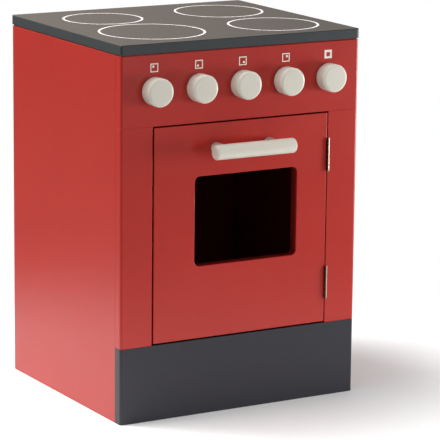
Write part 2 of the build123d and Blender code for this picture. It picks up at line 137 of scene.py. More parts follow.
def lay(points, levels, axis):
    """Flat outlines set in space: the levels run along the axis, the outlines along the other two."""
    grid = np.empty(points.shape[:2] + (3,))
    grid[..., [other for other in range(3) if other != axis]] = points
    grid[..., axis] = np.asarray(levels)[:, None]
    return grid


def slab(corners, radii, low, high, arris, axis, rebated=False):
    """A board of any right-angled outline, carried along an axis, with its edges rounded.

    A rebated board is set back by a step all round, just before its high end."""
    if not rebated:
        insets, levels = edge_rows(low, high, arris, arris)
        return lay(outline(corners, radii, insets), levels, axis)
    insets, levels = edge_rows(low, high - REBATE_HIGH, arris, SEAM_EDGE)
    insets = np.concatenate([insets[:-1], [REBATE_DEEP, REBATE_DEEP]])
    return lay(outline(corners, radii, insets), np.concatenate([levels, [high]]), axis)


def rectangle(low, high):
    """The four corners of a rectangle, from two opposite ones."""
    return [(low[0], low[1]), (high[0], low[1]), (high[0], high[1]), (low[0], high[1])]


def skin(grid, ring=False):
    """Points and faces of a grid of rows that run round. Its ends get flat caps, or meet in a ring.

    The faces are turned so that the enclosed volume, the sum of a . (b x c) / 6, is positive."""
    rows, columns = grid.shape[:2]
    index = np.arange(rows * columns).reshape(rows, columns)
    index = np.concatenate([index, index[:, :1]], axis=1)
    if ring:
        index = np.concatenate([index, index[:1]])
    quads = np.stack([index[:-1, :-1], index[:-1, 1:], index[1:, 1:], index[1:, :-1]], axis=-1)
    faces = quads.reshape(-1, 4).tolist()
    if not ring:
        faces += [index[0, :-1][::-1].tolist(), index[-1, :-1].tolist()]
    points = grid.reshape(-1, 3)
    fans = [(face[0], face[1:-1], face[2:]) for face in faces]
    first = np.concatenate([np.full(len(middle), start) for start, middle, last in fans])
    second = np.concatenate([middle for start, middle, last in fans])
    third = np.concatenate([last for start, middle, last in fans])
    centred = points - points.mean(axis=0)
    volume = np.sum(centred[first] * np.cross(centred[second], centred[third]))
    if volume < 0:
        faces = [face[::-1] for face in faces]
    return points, faces


def make_piece(name, skins, body, material, stands_for, sharp=CREASE):
    """One object of one or more skins, which rides on a body and stands for its CAD nodes."""
    points, faces, start = [], [], 0
    for skin_points, skin_faces in skins:
        points += skin_points.tolist()
        faces += [[start + corner for corner in face] for face in skin_faces]
        start += len(skin_points)
    mesh = bpy.data.meshes.new(name)
    mesh.from_pydata(points, [], faces)
    mesh.shade_smooth()
    mesh.set_sharp_from_angle(angle=math.radians(sharp))
    mesh.materials.append(material)
    made = bpy.data.objects.new(name, mesh)
    scene.collection.objects.link(made)
    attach(made, body)
    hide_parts(*stands_for)


class Wire:
    """An output socket that does sums. Each sum adds the Math node that works it out."""

    def __init__(self, tree, socket=None):
        self.tree, self.socket = tree, socket

    def node(self, kind, settings=None, inputs=None, output=0):
        """Adds a node: first its settings, then the values or wires of its sockets."""
        made = self.tree.nodes.new(kind)
        for key, value in (settings or {}).items():
            if key == "stops":
                while len(made.color_ramp.elements) < len(value):
                    made.color_ramp.elements.new(1.0)
                for stop, (place, colour) in zip(made.color_ramp.elements, value):
                    stop.position, stop.color = place, colour
            else:
                setattr(made, key, value)
        for key, value in (inputs or {}).items():
            if isinstance(value, Wire):
                self.tree.links.new(value.socket, made.inputs[key])
            else:
                made.inputs[key].default_value = value
        return Wire(self.tree, made.outputs[output] if len(made.outputs) else None)

    def sum_with(self, operation, first, second):
        """Adds the Math node of one operation on two values or wires."""
        return self.node("ShaderNodeMath", {"operation": operation}, {0: first, 1: second})

    def __add__(self, other):
        return self.sum_with("ADD", self, other)

    def __radd__(self, other):
        return self.sum_with("ADD", other, self)

    def __sub__(self, other):
        return self.sum_with("SUBTRACT", self, other)

    def __rsub__(self, other):
        return self.sum_with("SUBTRACT", other, self)

    def __mul__(self, other):
        return self.sum_with("MULTIPLY", self, other)

    def __rmul__(self, other):
        return self.sum_with("MULTIPLY", other, self)

    def __truediv__(self, other):
        return self.sum_with("DIVIDE", self, other)

    def __lt__(self, other):
        return self.sum_with("LESS_THAN", self, other)

    def __gt__(self, other):
        return self.sum_with("GREATER_THAN", self, other)

    def __or__(self, other):
        return self.sum_with("MAXIMUM", self, other)

    def __and__(self, other):
        return self.sum_with("MINIMUM", self, other)

    def __abs__(self):
        return self.node("ShaderNodeMath", {"operation": "ABSOLUTE"}, {0: self})


def new_material(name):
    """An empty material and the wire that its nodes are added with."""
    material = bpy.data.materials.new(name)
    material.use_nodes = True
    material.node_tree.nodes.clear()
    return material, Wire(material.node_tree)


def noise(wire, place, scale, detail=2.0, roughness=0.5):
    """Soft random values from 0 to 1, whose patches are about 1 / scale metres wide."""
    inputs = {"Vector": place, "Scale": scale, "Detail": detail, "Roughness": roughness}
    return wire.node("ShaderNodeTexNoise", {}, inputs)


def split(wire, place):
    """The X, Y and Z of a place as three wires."""
    parts = wire.node("ShaderNodeSeparateXYZ", {}, {"Vector": place})
    return [Wire(wire.tree, socket) for socket in parts.socket.node.outputs]


def mix(wire, amount, first, second):
    """A colour between two colours."""
    return wire.node("ShaderNodeMix", {"data_type": "RGBA"}, {0: amount, 6: first, 7: second}, 2)


def shade(colour, factor):
    """A colour made lighter or darker, as RGBA."""
    return (*(min(channel * factor, 1.0) for channel in colour), 1.0)


def relief(wire, height, depth, strength):
    """A bump as deep as given, where the height goes from 0 to 1."""
    inputs = {"Strength": strength, "Distance": depth, "Height": height}
    return wire.node("ShaderNodeBump", {}, inputs)


def lacquer_coat(wire, colour, roughness):
    """Sprayed lacquer on board: the colour drifts a little, the gloss is uneven where hands and
    cloths have been, and the film has a fine orange-peel ripple over long, low waves."""
    place = wire.node("ShaderNodeTexCoord", output="Object")
    drift = noise(wire, place, TONE_DRIFT, detail=3.0)
    specks = noise(wire, place, TONE_SPECKS, roughness=0.7)
    change = drift * DRIFT_SHARE + specks * (1 - DRIFT_SHARE)
    tone = mix(wire, change, shade(colour, COAT_DARKEST), shade(colour, COAT_LIGHTEST))
    rubbed = noise(wire, place, RUBBED_PATCHES, detail=4.0, roughness=0.6)
    gloss = roughness - RUBBED_SWING + rubbed * (2 * RUBBED_SWING)
    waves = noise(wire, place, FILM_WAVES, detail=1.0)
    peel = noise(wire, place, ORANGE_PEEL, detail=1.0)
    height = waves * WAVE_HEIGHT + peel * PEEL_HEIGHT
    return place, tone, gloss, relief(wire, height, FILM_RELIEF, FILM_RIPPLE)


def finish_material(wire, tone, gloss, bump, metal=0.0, level=FILM_SHINE):
    """Closes a material with its shader."""
    inputs = {
        "Base Color": tone,
        "Roughness": gloss,
        "Normal": bump,
        "Metallic": metal,
        "IOR": FILM_IOR,
        "Specular IOR Level": level,
    }
    shader = wire.node("ShaderNodeBsdfPrincipled", {}, inputs)
    wire.node("ShaderNodeOutputMaterial", {}, {"Surface": shader})


def lacquer(name, colour, roughness, level=FILM_SHINE):
    """A plain lacquered finish."""
    material, wire = new_material(name)
    place, tone, gloss, bump = lacquer_coat(wire, colour, roughness)
    finish_material(wire, tone, gloss, bump, level=level)
    return material


def red_lacquer_with_painted_shade(name, painted_shade_amount):
    """Red lacquer with painted shade inside the oven and in the joints: there its colour is darkened
    to stand in for the shade that falls there, and the coat is duller.

    The function passed in gives 0 for the outside and 1 for the inside, from the X, Y and Z of a
    place."""
    material, wire = new_material(name)
    place, tone, gloss, bump = lacquer_coat(wire, RED, RED_GLOSS)
    inside = painted_shade_amount(*split(wire, place))
    tone = mix(wire, inside, tone, shade(PAINTED_SHADE_RED, 1.0))
    finish_material(wire, tone, gloss + inside * (INSIDE_GLOSS - RED_GLOSS), bump)
    return material


red_lacquer = lacquer("red_coat", RED, RED_GLOSS)
inner_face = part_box("side_panel_right")[0].x
rebate_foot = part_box("side_panel_right")[1].z - REBATE_HIGH
# Painted shade: a darker red on the inner faces and in the rebate, for the shade that falls there.
side_lacquer = red_lacquer_with_painted_shade(
    "side_coat", lambda x, y, z: (abs(x) < inner_face + 0.5 * SEAM_EDGE) | (z > rebate_foot)
)
back_low, back_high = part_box("back_panel")
for name, way in (("side_panel_left", -1), ("side_panel_right", 1)):
    low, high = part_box(name)
    outer, inner = (low.x, high.x) if way < 0 else (high.x, low.x)
    bottom_of_groove = inner + way * GROOVE_DEPTH
    plan = [
        (outer, low.y),
        (outer, high.y),
        (inner, high.y),
        (inner, back_high.y + GROOVE_PLAY),
        (bottom_of_groove, back_high.y + GROOVE_PLAY),
        (bottom_of_groove, back_low.y - GROOVE_PLAY),
        (inner, back_low.y - GROOVE_PLAY),
        (inner, low.y),
    ]
    rounds = [SEAM_EDGE, EDGE_ROUND] + [SEAM_EDGE] * (len(plan) - 2)
    panel = slab(plan, rounds, low.z, high.z, FOOT_ARRIS, Z_AXIS, rebated=True)
    make_piece(f"{name}_board", [skin(panel)], "cabinet", side_lacquer, [name])


# Oven floor and back panel
# The floor is a board dowelled between the sides, level with the kickboard's top. The back is a
# 6 mm panel slid down the sides' grooves. Both get painted shade on the inside, a darker red that
# stands in for the shade in the oven, and the back's outer face is as bright as the sides.
INNER_EDGE = 0.5 * MM

# Painted shade: the oven floor is all in the darker red, and so is the back's inner face.
painted_shade_lacquer = lacquer("painted_shade_coat", PAINTED_SHADE_RED, INSIDE_GLOSS)
back_middle = (back_low.y + back_high.y) / 2
back_lacquer = red_lacquer_with_painted_shade("back_coat", lambda x, y, z: y < back_middle)
for name, axis, edge, coat in (
    ("oven_shelf", Z_AXIS, INNER_EDGE, painted_shade_lacquer),
    ("back_panel", Y_AXIS, SEAM_EDGE, back_lacquer),
):
    low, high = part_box(name)
    flat = [other for other in range(3) if other != axis]
    corners = rectangle([low[other] for other in flat], [high[other] for other in flat])
    board = slab(corners, edge, low[axis], high[axis], edge, axis)
    make_piece(f"{name}_board", [skin(board)], "cabinet", coat, [name])


# Front frame
# Two lacquered stiles stand between the control panel and the kickboard, glued over the sides'
# front edges. The outer upright edges are rounded, and all others have a fine arris, so that a thin
# line shows at each seam.
FRONT_ARRIS = 0.45 * MM
CHARCOAL = (0.0180, 0.0168, 0.0240)
CHARCOAL_GLOSS, CHARCOAL_SHINE = 0.36, 0.42


def front_board(name, rounded=(False, False), rebated=False):
    """A board of the front frame, drawn in plan and carried upwards. Its left and right front
    corners may be rounded, and its rear corners are glued seams."""
    low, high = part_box(name)
    front_rounds = [EDGE_ROUND if is_round else FRONT_ARRIS for is_round in rounded]
    corners = rectangle((low.x, low.y), (high.x, high.y))
    rounds = [*front_rounds, SEAM_EDGE, SEAM_EDGE]
    return slab(corners, rounds, low.z, high.z, FRONT_ARRIS, Z_AXIS, rebated)


charcoal_lacquer = lacquer("charcoal_coat", CHARCOAL, CHARCOAL_GLOSS, CHARCOAL_SHINE)
for name, rounded in (("stile_left", (True, False)), ("stile_right", (False, True))):
    board = front_board(name, rounded)
    make_piece(f"{name}_board", [skin(board)], "cabinet", red_lacquer, [name])
board = front_board("kickboard", (True, True))
make_piece(
    "kickboard_board", [skin(board)], "cabinet", charcoal_lacquer, ["kickboard"]
)


# Control panel
# The top board of the front frame, lacquered red. A small symbol is screen printed in cream above
# each knob: a square with a dot for each of the four rings, and a heavy square for the oven.
CREAM = (0.92, 0.85, 0.76)
CREAM_THINNEST = 0.93  # cover of the ink
CREAM_GRAIN = 900.0
CREAM_DULLING = 0.1  # added roughness
SYMBOL_HALF = 5.7 * MM
SYMBOL_LINE = 1.35 * MM
SYMBOL_RISE = 30.0 * MM  # from a knob's axis up to its symbol
DOT_RADIUS = 1.6 * MM
DOT_SHIFT = 1.6 * MM
DOT_WAYS = ((-1, 1), (-1, -1), (1, -1), (1, 1))
OVEN_LINE = 2.9 * MM
KNOB_COUNT = 5
KNOB_NUMBERS = range(1, KNOB_COUNT + 1)


def square_frame(across, up, centre, half, line):
    """1 on a square's printed line, of that width inside the square's outer edge, and 0 off it."""
    reach = abs(across - centre[0]) | abs(up - centre[1])
    return (reach < half) * (reach > half - line)


def ink_cover(wire, place, printed, thinnest, grain):
    """How well the ink covers: a little less than fully in the grains of its print."""
    return printed * (thinnest + noise(wire, place, grain) * (1 - thinnest))


knob_boxes = [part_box(f"knob_{number}") for number in KNOB_NUMBERS]
knob_axes = [((low.x + high.x) / 2, (low.z + high.z) / 2) for low, high in knob_boxes]
symbols = [(x, z + SYMBOL_RISE) for x, z in knob_axes]

control_lacquer, wire = new_material("control_panel_coat")
place, tone, gloss, bump = lacquer_coat(wire, RED, RED_GLOSS)
across, depth, up = split(wire, place)
printed = square_frame(across, up, symbols[-1], SYMBOL_HALF, OVEN_LINE)
for centre, way in zip(symbols, DOT_WAYS):
    printed = printed | square_frame(across, up, centre, SYMBOL_HALF, SYMBOL_LINE)
    dot_x = across - (centre[0] + way[0] * DOT_SHIFT)
    dot_z = up - (centre[1] + way[1] * DOT_SHIFT)
    printed = printed | (dot_x * dot_x + dot_z * dot_z < DOT_RADIUS**2)
control_low, control_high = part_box("control_panel")
printed = printed * (depth < control_low.y + INNER_EDGE)
cream_cover = ink_cover(wire, place, printed, CREAM_THINNEST, CREAM_GRAIN)
tone = mix(wire, cream_cover, tone, shade(CREAM, 1.0))
# Painted shade: a darker red in the rebate under the worktop.
tone = mix(wire, up > rebate_foot, tone, shade(PAINTED_SHADE_RED, 1.0))
finish_material(wire, tone, gloss + printed * CREAM_DULLING, bump)

board = front_board("control_panel", (True, True), rebated=True)
make_piece(
    "control_panel_board", [skin(board)], "cabinet", control_lacquer, ["control_panel"]
)


# Worktop
# A 13 mm board lacquered charcoal, with softened edges and round corners. Four rings are screen
# printed on it in pale lines, for the hob.
WORKTOP_ARRIS = 0.9 * MM
WORKTOP_CHARCOAL = (0.0275, 0.0285, 0.0295)
WORKTOP_GLOSS = 0.34
EDGE_CHARCOAL_PAINTED_LIGHT = (0.0330, 0.0400, 0.0440)  # painted light: lighter and cooler than the top, for the cool light on the edges
RING_LINE = 3.1 * MM
RING_WHITE = (0.82, 0.81, 0.78)
RING_THINNEST = 0.9  # cover of the ink
RING_GRAIN = 700.0
RING_DULLING = 0.08  # added roughness
RINGS = (  # centre from the worktop's middle, and the line's outer radius
    (-84.9 * MM, 71.5 * MM, 54.9 * MM),
    (-83.3 * MM, -64.5 * MM, 71.0 * MM),
    (94.6 * MM, 69.3 * MM, 62.2 * MM),
    (96.4 * MM, -74.1 * MM, 61.9 * MM),
)

low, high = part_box("worktop")
middle = (low + high) / 2
hob_lacquer, wire = new_material("hob_coat")
place, tone, gloss, bump = lacquer_coat(wire, WORKTOP_CHARCOAL, WORKTOP_GLOSS)
x, y, z = split(wire, place)
printed = None
for ring_x, ring_y, radius in RINGS:
    from_x, from_y = x - (middle.x + ring_x), y - (middle.y + ring_y)
    inner_radius = radius - RING_LINE
    reach = from_x * from_x + from_y * from_y
    ring = (reach < radius**2) * (reach > inner_radius**2)
    printed = ring if printed is None else printed | ring
printed = printed * (z > middle.z)
# Painted light: the edges below the top's arris are a lighter, cooler charcoal.
tone = mix(wire, z < high.z - WORKTOP_ARRIS, tone, shade(EDGE_CHARCOAL_PAINTED_LIGHT, 1.0))
ring_cover = ink_cover(wire, place, printed, RING_THINNEST, RING_GRAIN)
tone = mix(wire, ring_cover, tone, shade(RING_WHITE, 1.0))
finish_material(wire, tone, gloss + printed * RING_DULLING, bump)

board = slab(rectangle(low.xy, high.xy), EDGE_ROUND, low.z, high.z, WORKTOP_ARRIS, Z_AXIS)
make_piece("worktop_board", [skin(board)], "cabinet", hob_lacquer, ["worktop"])


# Door panel
# An inset board, lacquered red, with a round-cornered window and no pane. All its edges are
# softened, and they carry painted shade: a darker red that stands in for the shade in the gaps,
# most of all deep in the window.
DOOR_EDGE = 0.7 * MM
WINDOW_CORNER = 7.0 * MM
FACE_DEPTH = 0.4 * MM  # in from each face, where the edges' painted shade starts
FADE_DEPTH = 2.0 * MM  # over which the painted shade darkens from the front
WINDOW_FADE = 4.0 * MM  # and that much more in the window
FRAME_EDGE = 20.0 * MM  # what is farther in than this is the window's edge
WINDOW_MARGINS = (60.7 * MM, 46.0 * MM, 97.0 * MM, 69.0 * MM)  # left, right, bottom, top

low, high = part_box("door_panel")
outer = rectangle((low.x, low.z), (high.x, high.z))
left, right, bottom, top = WINDOW_MARGINS
window = rectangle((low.x + left, low.z + bottom), (high.x - right, high.z - top))
insets, levels = edge_rows(low.y, high.y, DOOR_EDGE, DOOR_EDGE)
outside = lay(outline(outer, DOOR_EDGE, insets), levels, Y_AXIS)
inside = lay(outline(window, WINDOW_CORNER, -insets[::-1]), levels[::-1], Y_AXIS)
ring = np.concatenate([outside, inside])
door_front, door_back, door_middle = low.y + FACE_DEPTH, high.y - FACE_DEPTH, (low + high) / 2
frame_half_width = (high.x - low.x) / 2 - FRAME_EDGE
frame_half_height = (high.z - low.z) / 2 - FRAME_EDGE


def door_shade(x, y, z):
    """Painted shade: 0 on the door's faces and 1 on its edges. In the window it grows more slowly
    from the front.
    """
    within_width = abs(x - door_middle.x) < frame_half_width
    within_height = abs(z - door_middle.z) < frame_half_height
    fade = (y - door_front) / (FADE_DEPTH + within_width * within_height * WINDOW_FADE)
    return (fade & 1.0 | 0.0) * (y < door_back)


door_lacquer = red_lacquer_with_painted_shade("door_coat", door_shade)
make_piece(
    "door_board", [skin(ring, ring=True)], "door", door_lacquer, ["door_panel"]
)


# Handle
# A beech bar turned to 20 mm with rounded ends, on two round posts that are screwed on from the
# back of the door. All of it is lacquered off-white.
OFF_WHITE = (0.70, 0.665, 0.578)
OFF_WHITE_GLOSS = 0.34
BAR_END_ROUND = 3.0 * MM
POST_END_ROUND = 0.3 * MM
POST_SINK = 4.0 * MM  # of the post's end hidden in the bar
FULL_CIRCLE = 96  # points round a bar or a knob
WOOD_DARKEST, WOOD_LIGHTEST = 0.95, 1.04  # the lacquer's tone, times its colour
WOOD_DRIFT, WOOD_PORES = 30.0, 1400.0  # patches per metre
WOOD_DRIFT_SHARE = 0.7  # of the change in tone, and the pores have the rest
WOOD_RUBBED, WOOD_SWING = 90.0, 0.05
WOOD_WAVES, WOOD_WAVE_HEIGHT = 120.0, 1.5
WOOD_PEEL, WOOD_PEEL_HEIGHT = 1100.0, 0.4
WOOD_RELIEF, WOOD_RIPPLE = 0.2 * MM, 0.12


def turned(profile, centre, axis, steps=64):
    """A turned piece: a profile of (radius, place along the axis) carried round it, at the points
    centre + radius (cos t, sin t) of the plane across the axis."""
    profile = np.asarray(profile, float)
    turn = np.linspace(0, 2 * np.pi, steps, endpoint=False)
    circle = np.stack([np.cos(turn), np.sin(turn)], axis=-1)
    rows = np.asarray(centre, float) + profile[:, 0, None, None] * circle
    return lay(rows, profile[:, 1], axis)


def quarter(radius, place, round_radius, from_face, way, steps=9):
    """The rounded rim of a turned piece, as rows of (radius, place).

    From a flat face at the place to the cylinder of that radius: radius - r (1 - sin t) and
    place + way r (1 - cos t). It runs from the face to the cylinder, or back, with one more row
    on the face and one on the cylinder to keep them straight."""
    turn = np.linspace(0, np.pi / 2, steps)
    inset = np.concatenate([[PAST_ROUND], 1 - np.sin(turn), [0.0]])
    height = np.concatenate([[0.0], 1 - np.cos(turn), [PAST_ROUND]])
    rows = np.stack([radius - round_radius * inset, place + way * round_radius * height], axis=-1)
    return rows if from_face else rows[::-1]


def rod_profile(radius, start, end, end_round):
    """The profile of a rod with flat, rounded ends."""
    first = quarter(radius, start, end_round, True, 1)
    last = quarter(radius, end, end_round, False, -1)
    return np.concatenate([first, last])


def wood_lacquer(name, colour, roughness):
    """Lacquer on turned beech: the wood's pores and low waves show faintly through it."""
    material, wire = new_material(name)
    place = wire.node("ShaderNodeTexCoord", output="Object")
    drift = noise(wire, place, WOOD_DRIFT, detail=3.0)
    pores = noise(wire, place, WOOD_PORES, roughness=0.7)
    change = drift * WOOD_DRIFT_SHARE + pores * (1 - WOOD_DRIFT_SHARE)
    tone = mix(wire, change, shade(colour, WOOD_DARKEST), shade(colour, WOOD_LIGHTEST))
    rubbed = noise(wire, place, WOOD_RUBBED, detail=3.0)
    gloss = roughness - WOOD_SWING + rubbed * (2 * WOOD_SWING)
    waves, peel = noise(wire, place, WOOD_WAVES), noise(wire, place, WOOD_PEEL)
    height = waves * WOOD_WAVE_HEIGHT + peel * WOOD_PEEL_HEIGHT
    finish_material(wire, tone, gloss, relief(wire, height, WOOD_RELIEF, WOOD_RIPPLE))
    return material


white_lacquer = wood_lacquer("white_coat", OFF_WHITE, OFF_WHITE_GLOSS)
bar_low, bar_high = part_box("handle_bar")
bar_radius = (bar_high.z - bar_low.z) / 2
bar_centre = ((bar_low.y + bar_high.y) / 2, (bar_low.z + bar_high.z) / 2)
bar_profile = rod_profile(bar_radius, bar_low.x, bar_high.x, BAR_END_ROUND)
bar = turned(bar_profile, bar_centre, X_AXIS, FULL_CIRCLE)
make_piece("handle_bar_turned", [skin(bar)], "door", white_lacquer, ["handle_bar"])
for side in ("left", "right"):
    low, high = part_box(f"handle_post_{side}")
    radius = (high.x - low.x) / 2
    centre = ((low.x + high.x) / 2, (low.z + high.z) / 2)
    tip = bar_high.y - POST_SINK
    post = turned(rod_profile(radius, tip, high.y, POST_END_ROUND), centre, Y_AXIS)
    make_piece(
        f"handle_post_{side}_turned",
        [skin(post)],
        "door",
        white_lacquer,
        [f"handle_post_{side}"],
    )


# Knobs
# Five beech knobs turned to 37 mm, with a flat face, a soft bevel round it and a small rear
# round, lacquered off-white. Each one turns on its own wooden spindle.
BEVEL_IN = 3.0 * MM
BEVEL_BACK = 2.2 * MM
BEVEL_SWELL = 0.4 * MM  # how far the bevel's middle stands out of its straight line
KNOB_REAR = 1.0 * MM
KNOB_CREASE = 20.0  # degrees, so that the bevel's two edges are drawn sharp


def knob_profile(radius, face, rear, steps=13):
    """The rows of (radius, place) from a knob's face to its rear.

    The bevel runs from (radius - a, face) to (radius, face + b), and is pushed outwards across its
    line by swell sin t, with t from 0 to a half turn."""
    part = np.linspace(0, 1, steps)
    swell = BEVEL_SWELL * np.sin(np.pi * part) / math.hypot(BEVEL_IN, BEVEL_BACK)
    around = radius - BEVEL_IN * (1 - part) + swell * BEVEL_BACK
    along = face + BEVEL_BACK * part - swell * BEVEL_IN
    flat_face = [(radius - PAST_ROUND * BEVEL_IN, face)]
    straight_side = [(radius, face + PAST_ROUND * BEVEL_BACK)]
    bevel = np.minimum(np.stack([around, np.maximum(along, face)], axis=-1), (radius, rear))
    rear_round = quarter(radius, rear, KNOB_REAR, False, -1)
    return np.concatenate([flat_face, bevel, straight_side, rear_round])


for number, (low, high), axis_point in zip(KNOB_NUMBERS, knob_boxes, knob_axes):
    radius = (high.x - low.x) / 2
    knob = turned(knob_profile(radius, low.y, high.y), axis_point, Y_AXIS, FULL_CIRCLE)
    make_piece(
        f"knob_{number}_turned",
        [skin(knob)],
        f"knob_{number}",
        white_lacquer,
        [f"knob_{number}"],
        sharp=KNOB_CREASE,
    )


# Hinges
# Two small butt hinges of rolled brass strip. Each leaf is a comb whose tabs are rolled into the
# knuckles, and a steel pin runs through all six. The barrel stands just proud of the boards.
KNUCKLES = 6
KNUCKLE_GAP = 0.3 * MM
BARREL_RADIUS = 2.0 * MM
BARREL_CLEARANCE = 0.35 * MM
PIN_RADIUS = 1.0 * MM
PIN_END_ROUND = 0.2 * MM
PIN_BORE = 1.05 * MM  # radius
LEAF_NEAR, LEAF_FAR = 0.1 * MM, 0.7 * MM  # a leaf's two faces, from the barrel's axis
LEAF_CORNER = 1.2 * MM
LEAF_ARRIS = 0.04 * MM
STAMPED_CORNER = 0.05 * MM  # of the comb's tabs
KNUCKLE_EDGE = 0.12 * MM
KNUCKLE_EDGE_STEPS = 4
SMALL_CIRCLE = 32  # points round a knuckle or a pin
HINGE_CREASE = 50.0  # degrees
BRASS = (0.56, 0.44, 0.34)
BRASS_GLOSS = 0.30
# Painted shade: a dark tone on the hinge barrel's left side and in the screws' cross recesses.
METAL_PAINTED_SHADE = (0.07, 0.03, 0.025)
PAINTED_SHADE_EDGE = 0.6 * MM  # left of the barrel's axis
STEEL = (0.56, 0.56, 0.57)
STEEL_GLOSS = 0.32
ROLLED = (1.0, 1.0, 0.08)  # how close the scratches lie along each axis, here long along Z
DRAWN = (1.0, 1.0, 0.1)
METAL_DARKEST, METAL_LIGHTEST = 0.8, 1.1  # the metal's tone, times its colour
METAL_CLOUDS, SCRATCHES = 160.0, 2500.0  # patches per metre
SCRATCH_DULLING, SCRATCH_SHINE = 0.14, 0.05
SCRATCH_RELIEF, SCRATCH_RIPPLE = 0.05 * MM, 0.15


def metal(name, colour, roughness, stretch, painted_shade_where=None):
    """Rolled or drawn metal: fine scratches run along it, and the tone is cloudy from handling.

    It gets painted shade, a dark tone, where a function of X, Y and Z gives 1."""
    material, wire = new_material(name)
    place = wire.node("ShaderNodeTexCoord", output="Object")
    drawn = wire.node("ShaderNodeMapping", {}, {"Vector": place, "Scale": stretch})
    scratches = noise(wire, drawn, SCRATCHES, detail=3.0, roughness=0.7)
    clouds = noise(wire, place, METAL_CLOUDS, detail=3.0)
    tone = mix(wire, clouds, shade(colour, METAL_DARKEST), shade(colour, METAL_LIGHTEST))
    if painted_shade_where is not None:
        tone = mix(wire, painted_shade_where(*split(wire, place)), tone, shade(METAL_PAINTED_SHADE, 1.0))
    gloss = roughness + scratches * SCRATCH_DULLING - SCRATCH_SHINE
    bump = relief(wire, scratches, SCRATCH_RELIEF, SCRATCH_RIPPLE)
    finish_material(wire, tone, gloss, bump, metal=1.0)
    return material


def comb(front, rear, bottom, top, tabs, tip):
    """The outline of a hinge leaf in (Y, Z): a plate whose front edge has a tab for each knuckle.

    Where a tab lies level with the plate's end, the two corners that meet there count once."""
    corners = [(rear, top), (rear, bottom), (front, bottom)]
    for tab_low, tab_high in tabs:
        corners += [(front, tab_low), (tip, tab_low), (tip, tab_high), (front, tab_high)]
    corners.append((front, top))
    distinct = [corners[0]]
    for corner in corners[1:]:
        if math.dist(corner, distinct[-1]) > LEAST:
            distinct.append(corner)
    return distinct


# Painted shade: the brass left of the barrel's axis is darkened, for its shade and dark reflection.
painted_shade_x = sum(corner.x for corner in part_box("upper_hinge_pin")) / 2 - PAINTED_SHADE_EDGE
brass = metal("rolled_brass", BRASS, BRASS_GLOSS, ROLLED, lambda x, y, z: x < painted_shade_x)
steel = metal("plated_steel", STEEL, STEEL_GLOSS, DRAWN)
for place_name in ("upper", "lower"):
    pin_low, pin_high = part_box(f"{place_name}_hinge_pin")
    axis_x, axis_y = (pin_low.x + pin_high.x) / 2, (pin_low.y + pin_high.y) / 2
    pitch = (pin_high.z - pin_low.z + KNUCKLE_GAP) / KNUCKLES
    starts = [pin_low.z + number * pitch for number in range(KNUCKLES)]
    for leaf_name, body, first, way in (("frame_leaf", "cabinet", 0, 1), ("door_leaf", "door", 1, -1)):
        node = f"{place_name}_hinge_{leaf_name}"
        low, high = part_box(node)
        own = [(start, start + pitch - KNUCKLE_GAP) for start in starts[first::2]]
        front = axis_y + BARREL_RADIUS + BARREL_CLEARANCE
        plate_start, plate_end = sorted((axis_x + way * LEAF_NEAR, axis_x + way * LEAF_FAR))
        corners = comb(front, high.y, pin_low.z, pin_high.z, own, axis_y + PIN_BORE)
        radii = [LEAF_CORNER] * 2 + [STAMPED_CORNER] * (len(corners) - 2)
        skins = [skin(slab(corners, radii, plate_start, plate_end, LEAF_ARRIS, X_AXIS))]
        for start, end in own:
            start_edge = quarter(BARREL_RADIUS, start, KNUCKLE_EDGE, True, 1, KNUCKLE_EDGE_STEPS)
            end_edge = quarter(BARREL_RADIUS, end, KNUCKLE_EDGE, False, -1, KNUCKLE_EDGE_STEPS)
            tube = [(PIN_BORE, end), (PIN_BORE, start), *start_edge, *end_edge]
            knuckle = turned(tube, (axis_x, axis_y), Z_AXIS, SMALL_CIRCLE)
            skins.append(skin(knuckle, ring=True))
        make_piece(f"{node}_rolled", skins, body, brass, [node], sharp=HINGE_CREASE)
    pin_profile = rod_profile(PIN_RADIUS, pin_low.z, pin_high.z, PIN_END_ROUND)
    pin = turned(pin_profile, (axis_x, axis_y), Z_AXIS, SMALL_CIRCLE)
    make_piece(
        f"{place_name}_hinge_pin_drawn",
        [skin(pin)],
        "cabinet",
        steel,
        [f"{place_name}_hinge_pin"],
    )


# Small parts out of sight
# Screws, washers, spindles, dowels and the magnetic catch keep the shapes they were made in, and
# get the finish of their stock: plated steel, brass, sanded beech, ferrite and nylon. The screws
# have a cross recess in the head, which is drawn as painted shade, a dark cross.
SCREW_ROWS = {  # the screws that lie along Y, and how many stand in a row along X
    "back_screws": 3,
    "catch_screws": 2,
    "handle_screws": 2,
    "strike_screw": 1,
    **{f"knob_screw_{number}": 1 for number in KNOB_NUMBERS},
}
RECESS_REACH, RECESS_HALF = 0.52, 0.12  # a bar's half length and half width, in radii of the head
CAST = (1.0, 1.0, 1.0)  # no scratches drawn out along any axis

heads = []
for name, count in SCREW_ROWS.items():
    low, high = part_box(name)
    radius = (high.z - low.z) / 2
    middles = np.linspace(low.x + radius, high.x - radius, count)
    heads += [(middle_x, low.z + radius, radius) for middle_x in middles]


def in_recess(x, y, z):
    """1 in the cross recess of a screw's head, which gets painted shade, and 0 off it."""
    marked = None
    for head_x, head_z, radius in heads:
        from_x, from_z = abs(x - head_x), abs(z - head_z)
        reach, half = RECESS_REACH * radius, RECESS_HALF * radius
        cross = (from_x < reach) * (from_z < half) | (from_x < half) * (from_z < reach)
        marked = cross if marked is None else marked | cross
    return marked


